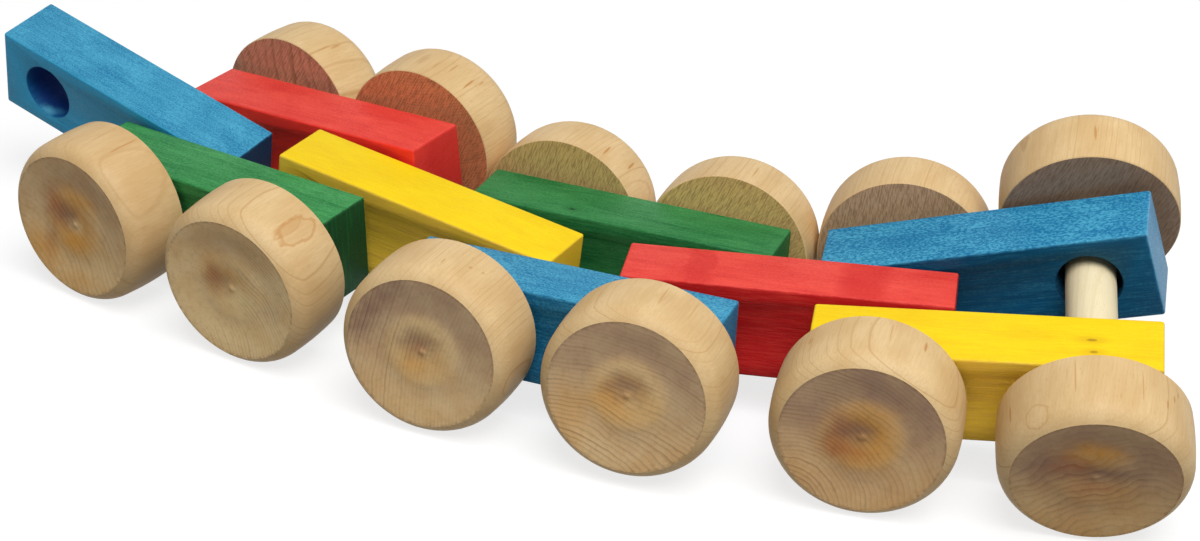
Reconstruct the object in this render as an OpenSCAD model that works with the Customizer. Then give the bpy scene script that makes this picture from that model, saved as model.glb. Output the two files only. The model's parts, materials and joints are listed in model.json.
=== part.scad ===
// Wooden pull toy: nine stained blocks threaded on six dowels like a chain, with a turned wheel
// glued on each dowel end. The holes are loose, so the chain bends, snakes and twists.
// X runs along the chain from the head block, the front wheels are at -Y, the floor is at Z = 0.

/* [Blocks] */
// Length of a block past the middle of each cross hole
block_end = 20.65; // [18:0.05:23]
// Height of a block
block_h = 31.6; // [28:0.2:36]
// Thickness of a block, along the dowels
block_t = 23.8; // [20:0.2:27]
// Diameter of the cross holes, loose on the dowels
hole_d = 20.4; // [19:0.1:21]
// Rounding of a block's edges
edge_r = 0.9; // [0.4:0.1:1.6]

/* [Dowels] */
// Diameter of the dowels
dowel_d = 15.9; // [15:0.1:16.5]
// Bevel at the dowels' ends
dowel_bevel = 0.8; // [0.3:0.1:1.5]
// Free room between neighbouring rows of blocks
row_gap = 3.7; // [3.5:0.1:6]
// Free room between an outer block and the wheel beside it
wheel_gap = 3.3; // [3:0.1:5]

/* [Wheels] */
// Largest diameter of a wheel
wheel_d = 57.6; // [54:0.2:58.4]
// Free room between the wheels of neighbouring dowels, with the chain straight
wheel_room = 5.9; // [5.7:0.1:9]
// Width of a wheel
wheel_w = 23.8; // [20:0.2:28]
// Diameter of the turned outer face
face_d = 49.6; // [44:0.2:52]
// How far the rolling surface falls away towards the inner face
tread_fall = 0.3; // [0.2:0.1:1]
// Width of the rounded shoulder beside the outer face
shoulder_w = 7; // [4:0.2:9]
// Depth of the dish turned into the outer face
dish_depth = 1.3; // [0.6:0.1:2.2]
// Depth of the soft ring round the middle of the dish
ring_depth = 1.2; // [0.2:0.1:2]
// Depth of the hollow in the middle of the outer face
hollow_depth = 1.8; // [1.2:0.1:3.5]
// Diameter of the small nub that the lathe leaves in the middle
nub_d = 2.8; // [1.5:0.1:5]
// Depth of the blind socket that holds the dowel
socket_depth = 15; // [10:0.5:17]
// Glue clearance round the dowel in its socket
glue_gap = 0.05; // [0.02:0.01:0.1]
// Room left past the dowel's end in the socket
end_gap = 0.3; // [0.2:0.1:1]

/* [Rest pose] */
// Turn from each wheel pair to the next, as a share of the play angle
rest_turn = [0.44, 0.72, 0.37, 0.56, 0.55]; // [-0.75:0.01:0.75]
// Lean of each wheel pair, as a share of the play angle, back wheel up
rest_lean = [0.32, 0.61, 0, -0.12, 0.36, 1.71]; // [-0.5:0.01:1.75]
// Turn of each link past the mean of its two dowels, as a share of the play angle
rest_skew = [-0.21, -0.41, -0.13, 0.6, -0.34]; // [-0.7:0.01:0.7]
// How far each link's dowels lie apart past the hole distance, as a share of the play
rest_reach = [0.03, 0.15, -0.22, -0.02, -0.41]; // [-0.45:0.01:0.45]
// Lift of the head block's free end, in degrees
head_lift = 12.5; // [0:0.5:25]
// Twist of the head block on its dowel, as a share of the play angle
head_twist = 0.82; // [0:0.01:0.9]
// Turn of the head block on its dowel, as a share of the play angle
head_turn = -0.01; // [-0.3:0.01:0.3]
// Turn of the whole chain, so that it lies along X
chain_turn = -1.6; // [-5:0.1:5]

/* [Hidden] */
$fn = 96;

blue = [0.16, 0.47, 0.66];
green = [0.16, 0.5, 0.29];
red = [0.8, 0.2, 0.18];
yellow = [0.94, 0.8, 0.13];
maple = [0.86, 0.72, 0.52];
birch = [0.92, 0.84, 0.68];

pitch = wheel_d + wheel_room;
block_l = pitch + 2 * block_end;
row_pitch = block_t + row_gap;
wheel_face = row_pitch + block_t / 2 + wheel_gap;
play = hole_d - dowel_d;
play_angle = atan(play / block_t);
last = len(rest_lean) - 1;
tread_r = wheel_d / 2;
socket_r = dowel_d / 2 + glue_gap;
dowel_l = 2 * (wheel_face + socket_depth - end_gap);

// Each block: first dowel, second dowel, row (front, middle or back), colour, then its side shifts
// at the two dowels as shares of the row gap, and its drops there as shares of half the play.
blocks = [
    [0, 1, -1, green, [-0.47, -0.27], [-0.49, -0.28]],
    [0, 1, 1, red, [-0.21, -0.49], [-0.55, -0.08]],
    [1, 2, 0, yellow, [-0.47, -0.02], [-0.08, -0.02]],
    [2, 3, -1, blue, [-0.43, -0.11], [-0.35, -0.73]],
    [2, 3, 1, green, [0.23, 0.5], [-0.31, -0.32]],
    [3, 4, 0, red, [0.13, -0.21], [-0.3, -0.18]],
    [4, 5, -1, yellow, [-0.11, 0.04], [0.17, 0.02]],
    [4, 5, 1, blue, [-0.03, -0.53], [0.15, 0.03]]
];
block_names = [
    "front_block_1", "back_block_1", "middle_block_1", "front_block_2",
    "back_block_2", "middle_block_2", "front_block_3", "back_block_3"
];
// The head block's side shift on its dowel, as a share of the row gap
head_shift = -0.5;

// The wheel's outline, as distance from the axis and distance from the inner face
crown_at = (wheel_w - shoulder_w) / 2;
inner_bevel = 0.3;
shoulder_turn = 62;
face_r = face_d / 2;
dish_edge = 1.06 * face_r;
dish_r = 0.52 * face_r;
ring_r = 0.42 * face_r;
nub_h = 0.5;

function tread_at(x) = tread_r - tread_fall * pow((x - crown_at) / crown_at, 2);
function blend(a, b, t) = a + (b - a) * (1 - cos(180 * t)) / 2;
function face_depth(r) =
    r > dish_r ? blend(dish_depth, 0, (r - dish_r) / (dish_edge - dish_r)) :
    r > ring_r ? blend(ring_depth, dish_depth, (r - ring_r) / (dish_r - ring_r)) :
    blend(hollow_depth, ring_depth, r / ring_r);

shoulder_x = wheel_w - shoulder_w;
shoulder_r = tread_at(shoulder_x);
tread_points = [for (x = [inner_bevel : (shoulder_x - inner_bevel) / 8 : shoulder_x + 0.01]) [tread_at(x), x]];
shoulder_points = [
    for (a = [shoulder_turn / 8 : shoulder_turn / 8 : shoulder_turn + 0.01])
        [
            shoulder_r - (shoulder_r - face_r) * (1 - cos(a)) / (1 - cos(shoulder_turn)),
            shoulder_x + shoulder_w * sin(a) / sin(shoulder_turn)
        ]
];
face_points = [
    for (k = [1 : 20])
        let (r = face_r + (nub_d / 2 - face_r) * k / 20)
            [r, wheel_w - face_depth(r)]
];
wheel_outline = concat(
    [[0, socket_depth], [socket_r, socket_depth], [socket_r, 0], [tread_at(0) - inner_bevel, 0]],
    tread_points,
    shoulder_points,
    face_points,
    [[0, wheel_w - hollow_depth + nub_h]]
);

// Where each dowel's middle lies, before the chain is centred on the origin
function add_up(v, n) = n == 0 ? 0 : v[n - 1] + add_up(v, n - 1);
first_turn = -(add_up(rest_turn, last) / 2) * play_angle;
function yaw(i) = chain_turn + first_turn + add_up(rest_turn, i) * play_angle;
function lean(i) = rest_lean[i] * play_angle;
function heading(i) = (yaw(i) + yaw(i + 1)) / 2 + rest_skew[i] * play_angle;
function span(i) = pitch + rest_reach[i] * play;
function ride_height(i) = max([
    for (p = concat(tread_points, shoulder_points))
        p.x * cos(lean(i)) + (wheel_face + p.y) * abs(sin(lean(i)))
]);
function along(i) = i == 0 ? [0, 0] :
    along(i - 1) + span(i - 1) * [cos(heading(i - 1)), sin(heading(i - 1))];
function raw_place(i) = [along(i).x, along(i).y, ride_height(i)];
function axis_of(i) = [-sin(yaw(i)) * cos(lean(i)), cos(yaw(i)) * cos(lean(i)), sin(lean(i))];

// A block lies along the line between the two dowels that it is threaded on
function unit(v) = v / norm(v);
function threaded(i, row, shift, drop) =
    raw_place(i) + axis_of(i) * (row * row_pitch + shift * row_gap) + [0, 0, drop * play / 2];
function frame_of(x, n, c) =
    let (y = unit(n - (n * x) * x), z = cross(x, y))
        [[x.x, y.x, z.x, c.x], [x.y, y.y, z.y, c.y], [x.z, y.z, z.z, c.z], [0, 0, 0, 1]];
function block_frame(b) =
    let (
        from = threaded(b[0], b[2], b[4][0], b[5][0]),
        to = threaded(b[1], b[2], b[4][1], b[5][1])
    )
        frame_of(unit(to - from), axis_of(b[0]) + axis_of(b[1]), (from + to) / 2);
function head_frame() =
    let (
        yaw = yaw(0) + head_turn * play_angle,
        roll = lean(0) + head_twist * play_angle,
        y = [-sin(yaw) * cos(roll), cos(yaw) * cos(roll), sin(roll)],
        level = unit(cross(y, [0, 0, 1])),
        x = level * cos(head_lift) - cross(level, y) * sin(head_lift)
    )
        frame_of(x, y, raw_place(0) + axis_of(0) * head_shift * row_gap - x * pitch / 2);

// How far the model reaches along a direction, to put its middle on the origin
function wheel_reach(e) = max([
    for (i = [0 : last], side = [-1, 1], p = concat(tread_points, shoulder_points))
        let (n = axis_of(i))
            (raw_place(i) + n * side * (wheel_face + p.y)) * e + p.x * sqrt(1 - pow(n * e, 2))
]);
function frame_reach(m, e) = max([
    for (sx = [-0.5, 0.5], sy = [-0.5, 0.5], sz = [-0.5, 0.5])
        let (q = m * [sx * block_l, sy * block_t, sz * block_h, 1])
            [q.x, q.y, q.z] * e
]);
function reach(e) = max(
    wheel_reach(e),
    frame_reach(head_frame(), e),
    max([for (b = blocks) frame_reach(block_frame(b), e)])
);
centre = [
    (reach([1, 0, 0]) - reach([-1, 0, 0])) / 2,
    (reach([0, 1, 0]) - reach([0, -1, 0])) / 2,
    0
];

module rounded_outline(l, w) {
    square([l - 2 * edge_r, w], center = true);
    square([l, w - 2 * edge_r], center = true);
    for (sx = [-1, 1], sy = [-1, 1])
        translate([sx * (l / 2 - edge_r), sy * (w / 2 - edge_r)])
            circle(r = edge_r, $fn = 24);
}

// One block with its two cross holes, centred on the origin
module drilled_block() {
    difference() {
        intersection() {
            linear_extrude(block_h, center = true)
                rounded_outline(block_l, block_t);
            rotate([90, 0, 0])
                linear_extrude(block_t, center = true)
                    rounded_outline(block_l, block_h);
            rotate([90, 0, 90])
                linear_extrude(block_l, center = true)
                    rounded_outline(block_t, block_h);
        }
        for (side = [-1, 1])
            translate([side * pitch / 2, 0, 0])
                rotate([90, 0, 0])
                    cylinder(h = block_t + 2, d = hole_d, center = true);
    }
}

module head_block() {
    color(blue)
        translate(-centre)
            multmatrix(head_frame())
                drilled_block();
}

module link_block(b) {
    color(b[3])
        translate(-centre)
            multmatrix(block_frame(b))
                drilled_block();
}

module on_dowel(i) {
    translate(raw_place(i) - centre)
        rotate([lean(i), 0, yaw(i)])
            children();
}

module dowel(i) {
    color(birch)
        on_dowel(i)
            rotate([90, 0, 0])
                rotate_extrude()
                    polygon([
                        [0, -dowel_l / 2],
                        [dowel_d / 2 - dowel_bevel, -dowel_l / 2],
                        [dowel_d / 2, dowel_bevel - dowel_l / 2],
                        [dowel_d / 2, dowel_l / 2 - dowel_bevel],
                        [dowel_d / 2 - dowel_bevel, dowel_l / 2],
                        [0, dowel_l / 2]
                    ]);
}

// A wheel, front (side -1) or back (side 1), its socket towards the blocks
module wheel(i, side) {
    color(maple)
        on_dowel(i)
            translate([0, side * wheel_face, 0])
                rotate([-90 * side, 0, 0])
                    rotate_extrude()
                        polygon(wheel_outline);
}

head_block();
for (k = [0 : len(blocks) - 1])
    link_block(blocks[k]);
for (i = [0 : last]) {
    dowel(i);
    wheel(i, -1);
    wheel(i, 1);
}
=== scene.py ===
import json
import math

import bpy
from mathutils import Euler, Matrix, Vector


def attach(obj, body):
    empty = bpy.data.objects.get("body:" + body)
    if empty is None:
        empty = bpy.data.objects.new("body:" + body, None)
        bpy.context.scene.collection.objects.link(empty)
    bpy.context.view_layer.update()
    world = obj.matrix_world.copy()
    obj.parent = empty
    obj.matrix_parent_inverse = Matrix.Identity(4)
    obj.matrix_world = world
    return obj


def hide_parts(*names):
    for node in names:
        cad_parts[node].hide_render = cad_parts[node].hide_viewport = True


# Wooden pull toy: stained blocks on loose dowels, with a turned maple wheel on each dowel end.
# Lengths in the settings are millimetres, and every mesh is made in metres.
# Colours in the settings are red, green and blue as a picture shows them, from 0 to 255.

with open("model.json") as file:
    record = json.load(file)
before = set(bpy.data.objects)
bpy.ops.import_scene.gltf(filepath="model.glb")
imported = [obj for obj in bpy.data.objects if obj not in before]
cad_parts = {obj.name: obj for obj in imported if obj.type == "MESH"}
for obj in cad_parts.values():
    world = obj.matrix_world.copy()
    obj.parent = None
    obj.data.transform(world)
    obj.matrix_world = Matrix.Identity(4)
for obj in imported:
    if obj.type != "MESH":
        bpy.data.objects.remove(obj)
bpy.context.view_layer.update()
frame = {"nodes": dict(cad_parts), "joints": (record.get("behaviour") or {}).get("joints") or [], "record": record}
mm = 0.001
hair = 0.02  # places that are nearer to each other than this, in millimetres, count as one


# Small helpers for modelling

def clearSelection():
    if bpy.context.object and bpy.context.object.mode != "OBJECT":
        bpy.ops.object.mode_set(mode="OBJECT")
    bpy.ops.object.select_all(action="DESELECT")


def newPiece(name, add, **values):
    clearSelection()
    add(**values)
    piece = bpy.context.object
    piece.name = name
    return piece


def makeActive(piece):
    clearSelection()
    piece.select_set(True)
    bpy.context.view_layer.objects.active = piece


def applyModifiers(piece):
    makeActive(piece)
    for modifier in list(piece.modifiers):
        bpy.ops.object.modifier_apply(modifier=modifier.name)


def startSelecting(piece, kind):
    # nothing is selected at first, and what is wanted is then marked in object mode
    makeActive(piece)
    bpy.ops.object.mode_set(mode="EDIT")
    bpy.ops.mesh.select_mode(type=kind)
    bpy.ops.mesh.select_all(action="DESELECT")
    bpy.ops.object.mode_set(mode="OBJECT")


def selectFaces(piece, wanted):
    # faces are chosen by their place and direction, then edit mode is entered with them selected
    startSelecting(piece, "FACE")
    for face in piece.data.polygons:
        face.select = wanted(face.center / mm, face.normal)
    bpy.ops.object.mode_set(mode="EDIT")


def selectEdges(piece, wanted):
    # edges are chosen by the places of both their ends
    startSelecting(piece, "EDGE")
    spots = [v.co / mm for v in piece.data.vertices]
    for edge in piece.data.edges:
        edge.select = all(wanted(spots[i]) for i in edge.vertices)
    bpy.ops.object.mode_set(mode="EDIT")


def smoothByAngle(piece, degrees):
    makeActive(piece)
    bpy.ops.object.shade_smooth_by_angle(angle=math.radians(degrees))


def storePlace(piece, name, placeOf):
    # keeps where each point lies, in millimetres, so that the wood stays on the piece when it moves
    layer = piece.data.attributes.new(name, "FLOAT_VECTOR", "POINT")
    spots = []
    for vertex in piece.data.vertices:
        spots.extend(placeOf(vertex.co / mm))
    layer.data.foreach_set("vector", spots)


def copyOf(master, name):
    piece = master.copy()
    piece.data = master.data.copy()
    piece.name = piece.data.name = name
    bpy.context.collection.objects.link(piece)
    return piece


def moveTo(piece, place):
    makeActive(piece)
    piece.matrix_world = place
    bpy.ops.object.transform_apply(location=True, rotation=True, scale=True)


def dropMaster(master):
    clearSelection()
    master.select_set(True)
    bpy.ops.object.delete()


def frameMatrix(x, y, z, origin):
    return Matrix.Translation(origin) @ Matrix((x, y, z)).transposed().to_4x4()


# Small helpers for materials

def nodeOf(tree, kind, inputs=None, **values):
    # an input is linked where it is given a socket, and set where it is given a value
    node = tree.nodes.new(kind)
    for name, value in values.items():
        setattr(node, name, value)
    for name, value in (inputs or {}).items():
        if isinstance(value, bpy.types.NodeSocket):
            tree.links.new(value, node.inputs[name])
        else:
            node.inputs[name].default_value = value
    return node


def maths(tree, operation, a, b=0.0, c=0.0):
    return nodeOf(tree, "ShaderNodeMath", {0: a, 1: b, 2: c}, operation=operation).outputs[0]


def times(tree, *factors):
    product = factors[0]
    for factor in factors[1:]:
        product = maths(tree, "MULTIPLY", product, factor)
    return product


def timesPlus(tree, value, factor, added):
    return maths(tree, "MULTIPLY_ADD", value, factor, added)


def vectorMaths(tree, operation, a, b=(0, 0, 0)):
    second = "Scale" if operation == "SCALE" else 1
    node = nodeOf(tree, "ShaderNodeVectorMath", {0: a, second: b}, operation=operation)
    return node.outputs["Value" if operation in ("LENGTH", "DOT_PRODUCT") else "Vector"]


def stretched(tree, place, factors):
    return vectorMaths(tree, "MULTIPLY", place, factors)


def axesOf(tree, place):
    return nodeOf(tree, "ShaderNodeSeparateXYZ", {0: place}).outputs


def attributeOf(tree, name):
    return nodeOf(tree, "ShaderNodeAttribute", attribute_name=name).outputs["Vector"]


def ramp(tree, value, low, high, fromZero=0.0, toOne=1.0):
    return nodeOf(tree, "ShaderNodeMapRange", {
        "Value": value, "From Min": low, "From Max": high, "To Min": fromZero, "To Max": toOne,
    }, interpolation_type="SMOOTHSTEP").outputs["Result"]


def bandOf(tree, value, starts, full, falls, ends):
    # rises from nothing to one, stays there, and falls to nothing again
    return times(tree, ramp(tree, value, starts, full), ramp(tree, value, falls, ends, 1.0, 0.0))


def noiseOf(tree, place, scale, detail, roughness=0.5):
    return nodeOf(tree, "ShaderNodeTexNoise", {
        "Vector": place, "Scale": scale, "Detail": detail, "Roughness": roughness,
    }).outputs["Fac"]


def maskOf(tree, place, settings, least=0.0, most=1.0):
    # settings: stretch, scale, detail and roughness of a noise, then where the mask starts and is full
    stretch, scale, detail, roughness, starts, full = settings
    noise = noiseOf(tree, stretched(tree, place, stretch), scale, detail, roughness)
    return ramp(tree, noise, starts, full, least, most)


def linear(shown):
    # a colour from 0 to 255 as the linear values that a shader takes
    values = [v / 255 for v in shown]
    return (*(v / 12.92 if v <= 0.04045 else ((v + 0.055) / 1.055) ** 2.4 for v in values), 1.0)


def tinted(tree, colour, tone, *shares):
    # turns a colour towards a tone by the product of the shares
    return nodeOf(tree, "ShaderNodeMix", {
        0: times(tree, *shares), 6: colour, 7: linear(tone),
    }, data_type="RGBA", clamp_factor=True).outputs[2]


def newGroup(name, inputs, outputs):
    # a socket takes its kind from its value: three numbers make a vector
    tree = bpy.data.node_groups.new(name, "ShaderNodeTree")
    for label, value in inputs.items():
        kind = "NodeSocketVector" if isinstance(value, tuple) else "NodeSocketFloat"
        socket = tree.interface.new_socket(name=label, in_out="INPUT", socket_type=kind)
        socket.default_value = value
    for label in outputs:
        tree.interface.new_socket(name=label, in_out="OUTPUT", socket_type="NodeSocketFloat")
    start = tree.nodes.new("NodeGroupInput").outputs
    end = tree.nodes.new("NodeGroupOutput").inputs
    return tree, start, end


def useGroup(tree, group, inputs):
    return nodeOf(tree, "ShaderNodeGroup", inputs, node_tree=group).outputs


# stretch: of the rings' bends along the trunk, fullAt and endsAt: where in a ring its dark line is
# strongest and where it breaks off, bends: scale and detail of each kind of bend
ringWork = {
    "stretch": (0.12, 1, 1), "fullAt": 0.9, "endsAt": 0.92,
    "bends": {"Wander": (0.035, 1.0), "Wave": (0.09, 1.0), "Ripple": (0.4, 2.0)},
}


# Growth rings round a pith that runs along X: a thin line closes each ring
def makeGrowthRings():
    work = ringWork
    group, start, end = newGroup("growthRings", {
        "Place": (0, 0, 0), "Spacing": 2.0, "Wander": 1.0, "Ripple": 0.1, "Start": 0.55,
        "Steady": 0.25, "Wave": 0.0, "Shift": 0.0,
    }, ("Line", "Fade", "Year"))
    along = stretched(group, start["Place"], work["stretch"])
    radius = vectorMaths(group, "LENGTH", stretched(group, start["Place"], (0, 1, 1)))
    count = maths(group, "ADD", maths(group, "DIVIDE", radius, start["Spacing"]), start["Shift"])
    for amount, (scale, detail) in work["bends"].items():
        swing = maths(group, "SUBTRACT", noiseOf(group, along, scale, detail), 0.5)
        count = timesPlus(group, swing, start[amount], count)
    part = maths(group, "FRACT", count)
    year = nodeOf(group, "ShaderNodeTexWhiteNoise", {
        "W": maths(group, "FLOOR", count),
    }, noise_dimensions="1D").outputs["Value"]
    rise = ramp(group, part, start["Start"], work["fullAt"])
    fall = ramp(group, part, work["endsAt"], 1.0, 1.0, 0.0)
    chance = maths(group, "SUBTRACT", 1.0, start["Steady"])
    strength = timesPlus(group, year, chance, start["Steady"])
    group.links.new(times(group, rise, fall, strength), end["Line"])
    group.links.new(times(group, part, fall), end["Fade"])
    group.links.new(year, end["Year"])
    return group


# each mask as maskOf takes it
fibreMasks = {
    "Streak": ((0.07, 1.5, 1.5), 1.0, 4.0, 0.6, 0.32, 0.68),
    "Pore": ((0.3, 4.0, 4.0), 1.0, 1.0, 0.4, 0.63, 0.74),
    "Cloud": ((0.5, 1.0, 1.0), 0.09, 2.0, 0.5, 0.3, 0.7),
}


# Fine fibres that run along X, short open pores, and soft clouds
def makeFibres():
    group, start, end = newGroup("woodFibres", {"Place": (0, 0, 0), "Fineness": 1.0}, fibreMasks)
    place = vectorMaths(group, "SCALE", start["Place"], start["Fineness"])
    for label, settings in fibreMasks.items():
        group.links.new(maskOf(group, place, settings), end[label])
    return group


faceReach = (0.15, 0.5)  # how far under a block's face a place still belongs to it, and no longer does


# How near a point of a block lies to one of its twelve edges, and whether it lies on an end or a side
def makeBoxEdge():
    group, start, end = newGroup("blockEdge", {
        "Place": (0, 0, 0), "Half Size": (1, 1, 1), "Width": 1.0,
    }, ("Edge", "End", "Side"))
    room = vectorMaths(group, "SUBTRACT", start["Half Size"], vectorMaths(group, "ABSOLUTE", start["Place"]))
    x, y, z = axesOf(group, room)
    low = maths(group, "MINIMUM", x, y)
    high = maths(group, "MAXIMUM", x, y)
    second = maths(group, "MAXIMUM", low, maths(group, "MINIMUM", high, z))
    group.links.new(ramp(group, second, 0.0, start["Width"], 1.0, 0.0), end["Edge"])
    group.links.new(ramp(group, x, *faceReach, 1.0, 0.0), end["End"])
    group.links.new(ramp(group, y, *faceReach, 1.0, 0.0), end["Side"])
    return group


# ragged: scale, detail and roughness of the uneven outline, outlineAt: how far out the outline lies,
# then where each mask starts to fade and is gone, as shares of the patch's size
patchWork = {
    "ragged": (1.3, 3.0, 0.6), "outlineAt": 0.85,
    "Inside": (0.55, 1.1), "Outline": (0.03, 0.12), "Halo": (0.9, 4.0), "Soft": (0.0, 1.3),
}


# A ragged patch round one place: a knot, a stain or the heart of the wood, and its outline
def makePatch():
    work = patchWork
    labels = ("Inside", "Outline", "Halo", "Soft")
    group, start, end = newGroup("woodPatch", {
        "Place": (0, 0, 0), "Centre": (0, 0, 0), "Size": (1, 1, 1), "Raggedness": 1.0,
    }, labels)
    away = vectorMaths(group, "SUBTRACT", start["Place"], start["Centre"])
    away = vectorMaths(group, "DIVIDE", away, start["Size"])
    rough = maths(group, "SUBTRACT", noiseOf(group, away, *work["ragged"]), 0.5)
    share = timesPlus(group, rough, start["Raggedness"], vectorMaths(group, "LENGTH", away))
    line = maths(group, "ABSOLUTE", maths(group, "SUBTRACT", share, work["outlineAt"]))
    for label in labels:
        out = line if label == "Outline" else share
        group.links.new(ramp(group, out, *work[label], 1.0, 0.0), end[label])
    return group


growthRings = makeGrowthRings()
woodFibres = makeFibres()
blockEdge = makeBoxEdge()
woodPatch = makePatch()


def patchOf(tree, place, centre, size, raggedness=1.0):
    return useGroup(tree, woodPatch, {
        "Place": place, "Centre": centre, "Size": size, "Raggedness": raggedness})


def newMaterial(name, roughness, specular):
    material = bpy.data.materials.new(name)
    material.use_nodes = True
    tree = material.node_tree
    shader = tree.nodes["Principled BSDF"]
    shader.inputs["Roughness"].default_value = roughness
    shader.inputs["Specular IOR Level"].default_value = specular
    return material, tree, shader


def grainOf(tree, place, rings, fineness):
    return (useGroup(tree, growthRings, {"Place": place, **rings}),
            useGroup(tree, woodFibres, {"Place": place, "Fineness": fineness}))


def finishWood(tree, shader, colour, height, work):
    tree.links.new(colour, shader.inputs["Base Color"])
    bump = nodeOf(tree, "ShaderNodeBump", {
        "Height": height, "Strength": work["bump"], "Distance": work["bumpHeight"] * mm})
    tree.links.new(bump.outputs["Normal"], shader.inputs["Normal"])


# The blocks

blockShape = {
    "length": 104.8, "thickness": 23.8, "height": 31.6,
    "holePitch": 63.5, "holeRadius": 10.2,
    "edgeWidth": 0.9, "edgeSteps": 4, "holeSides": 96, "drillLength": 1.5,
    "rimWidth": 0.35, "rimSteps": 2, "tornFibre": 0.12, "tornSeed": 5, "smoothAngle": 35,
}

# light, deep and dark: how the stain shows where little, much and very much of it soaks in,
# side and end: its tones on the upright sides and on the ends, lit: a brighter tone of the sides,
# wall, bore and glint: the tones of a hole's wall, partly its torn wood and partly painted shade, of deeper
# painted shade inside it, and of painted light where light falls on the wall,
# sideShare: how strong the side's tone is, fleck: how strong the small flecks of raised grain are,
# streak: how strong the streaks and the growth rings are
stains = {
    "blue": {
        "light": (84, 178, 210), "deep": (22, 112, 158), "dark": (6, 40, 78), "side": (0, 84, 126),
        "end": (24, 112, 158), "lit": (58, 184, 236), "wall": (14, 96, 156), "bore": (22, 54, 150),
        "glint": (104, 204, 236), "sideShare": 0.5, "fleck": 0.6, "streak": 0.26},
    "green": {
        "light": (74, 160, 90), "deep": (14, 106, 48), "dark": (8, 50, 26), "side": (20, 96, 48),
        "end": (22, 104, 52), "sideShare": 0.3, "fleck": 0.25, "streak": 0.42},
    "red": {
        "light": (244, 86, 72), "deep": (208, 38, 36), "dark": (110, 10, 18), "side": (194, 20, 24),
        "end": (206, 36, 36), "lit": (255, 58, 46), "sideShare": 0.4, "fleck": 0.15, "streak": 0.28},
    "yellow": {
        "light": (255, 222, 22), "deep": (240, 194, 16), "dark": (160, 118, 20),
        "side": (232, 184, 88), "end": (255, 208, 66), "sideShare": 0.65, "fleck": 0.1, "streak": 0.3},
}

# for all blocks. cloud, line and pore: how much deeper clouds, ring lines and pores make the stain, the
# line's as a share of the streaks', uneven: how far the sides vary, end, wall and rubbed: the shares of
# the tones there, rightHalf, wallReach and boreDepth: where the tones of the right end, of a hole's wall
# and of its inside begin and end, bandNoise: scale and detail of a cross band's sway, bandSway: its
# reach, bandCore: the full part of its width, haloDeep and haloDark: tones round a knot,
# flecks, endStreaks and rub: masks
stainWork = {
    "rings": {"Spacing": 2.6, "Wander": 5.0, "Ripple": 0.22}, "fineness": 1.3, "seedStep": 37.0,
    "cloud": 0.3, "line": 0.8, "pore": 0.3, "uneven": 0.35, "end": 0.6, "edgeWidth": 1.1,
    "wall": 0.75, "wallReach": (0.02, 0.45), "boreDepth": (6, 13), "rightHalf": (-1, 1), "rubbed": 0.4,
    "flecks": ((0.65, 1, 1), 1.9, 2.0, 0.6, 0.36, 0.64),
    "endStreaks": ((1, 1, 0.06), 1.0, 2.0, 0.5, 0.48, 0.66),
    "rub": ((1, 1, 1), 0.35, 2.0, 0.5, 0.35, 0.7),
    "bandNoise": (0.12, 1.0), "bandSway": 7.0, "bandCore": 0.55, "haloDeep": 0.5, "haloDark": 0.12,
    "smoothest": 0.44, "rougher": 0.16, "fleckHeight": 0.5, "poreDepth": 0.6,
    "bump": 0.35, "bumpHeight": 0.12,
}

# pith: where the tree's centre lies across the block, tilt: how far the grain runs off its length,
# side, fleck, end and wall: where the block differs from the rest, sideTone and wallTone: its tones
# there, fleckScale: how fine its flecks are, endDark: how dark the right end is, endStreak: how streaky
# the ends are, shade: how dark the whole block is, wallDepth: how strong the painted shade deep in its
# holes is, glints: centre, size and strength of painted light spots in a hole, bands: place along the
# block, width and strength of cross bands, knots: centre, radius, the share it is divided by on each axis,
# and strength
blockLooks = {
    "head_block": {
        "stain": "blue", "pith": (18, -70), "tilt": (1.0, -2.0), "seed": 3, "side": 0.8, "sideTone": "lit",
        "endDark": 0.85, "fleck": 0.45, "fleckScale": 2.3, "wall": 0.9, "wallTone": "wall", "wallDepth": 0.75,
        "glints": [((-33, -10.5, -10), (3.6, 2.6, 3), 0.7), ((-30, -8.5, -10), (4, 2.4, 3), 0.3)]},
    "front_block_1": {
        "stain": "green", "pith": (-30, -55), "tilt": (2.0, 1.0), "seed": 11,
        "endDark": 0.85, "endStreak": 0.4},
    # the red back block's sides take the brighter lit tone strongly: painted light on its front, which lies in
    # shade
    "back_block_1": {
        "stain": "red", "pith": (40, -80), "tilt": (-1.5, 1.5), "seed": 23, "side": 1.3, "sideTone": "lit"},
    "middle_block_1": {"stain": "yellow", "pith": (10, -90), "tilt": (1.5, -1.0), "seed": 31},
    "front_block_2": {"stain": "blue", "pith": (-25, -60), "tilt": (0.5, 2.0), "seed": 43, "side": 0.8},
    "back_block_2": {
        "stain": "green", "pith": (22, -64), "tilt": (2.0, -2.5), "seed": 57, "shade": 0.25,
        "knots": [((-17.6, -7.2, 15.8), 0.95, (0.8, 1.2, 1), 1.0)]},
    "middle_block_2": {
        "stain": "red", "pith": (-14, -76), "tilt": (-1.0, 2.0), "seed": 61, "side": 1.0, "endDark": 0.8,
        "bands": [(-28.5, 5.5, 0.55), (23.5, 9, 0.6)]},
    "front_block_3": {
        "stain": "yellow", "pith": (28, -58), "tilt": (1.0, 1.0), "seed": 73,
        "knots": [((31.3, 0.7, 15.8), 0.95, (0.5, 1.3, 1), 0.7),
                  ((32.0, -4.9, 15.8), 0.85, (0.6, 1.2, 1), 0.7)]},
    "back_block_3": {
        "stain": "blue", "pith": (-16, -66), "tilt": (-1.0, 1.0), "seed": 89, "side": 1.1,
        "fleck": 0.7, "fleckScale": 1.5, "end": (124, 168, 202)},
}


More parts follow.
